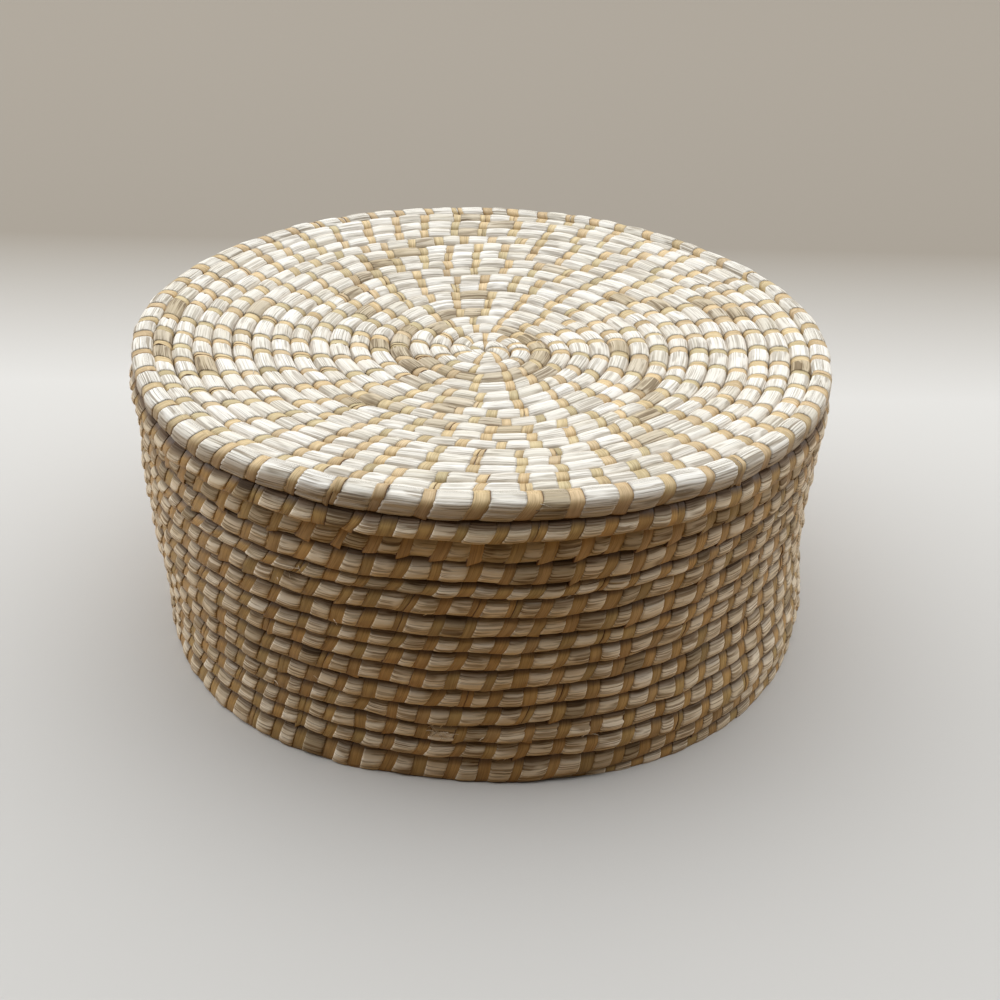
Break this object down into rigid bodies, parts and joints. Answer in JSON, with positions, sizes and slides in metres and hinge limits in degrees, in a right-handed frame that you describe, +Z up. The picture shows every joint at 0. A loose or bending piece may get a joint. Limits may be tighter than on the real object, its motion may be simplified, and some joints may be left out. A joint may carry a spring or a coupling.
{
  "type": "lidded coiled basket",
  "caption": "Round coiled storage basket of bound fibre bundles with a straight wall, a flat base and a shallow dished lift-off lid.",
  "frame": {"origin": "centre of the underside, on the surface that the basket stands on", "axes": "+Z up through the eye of the lid, -Y towards the front of the picture, +X to its right"},
  "size_m": [0.3, 0.3, 0.1298],
  "materials": {
    "bleached_fibre": "matt bleached grass fibre, grained along the bundle",
    "natural_fibre": "matt undyed brown grass fibre",
    "binding_strip": "satin tan leaf strip, grained along the strip"
  },
  "bodies": {
    "basket": {"base_coil": "bleached_fibre", "base_edge_coil": "bleached_fibre", "wall_coil": "bleached_fibre", "wall_rim_coil": "natural_fibre"},
    "lid": {"lid_coil": "bleached_fibre", "lid_edge_coil": "bleached_fibre", "lid_rim_coil": "bleached_fibre", "lid_locating_coil": "natural_fibre"}
  },
  "joints": [
    {"name": "lid_lift", "type": "slide", "parent": "basket", "child": "lid", "axis": [0, 0, 1], "range_m": [0, 0.15]}
  ]
}
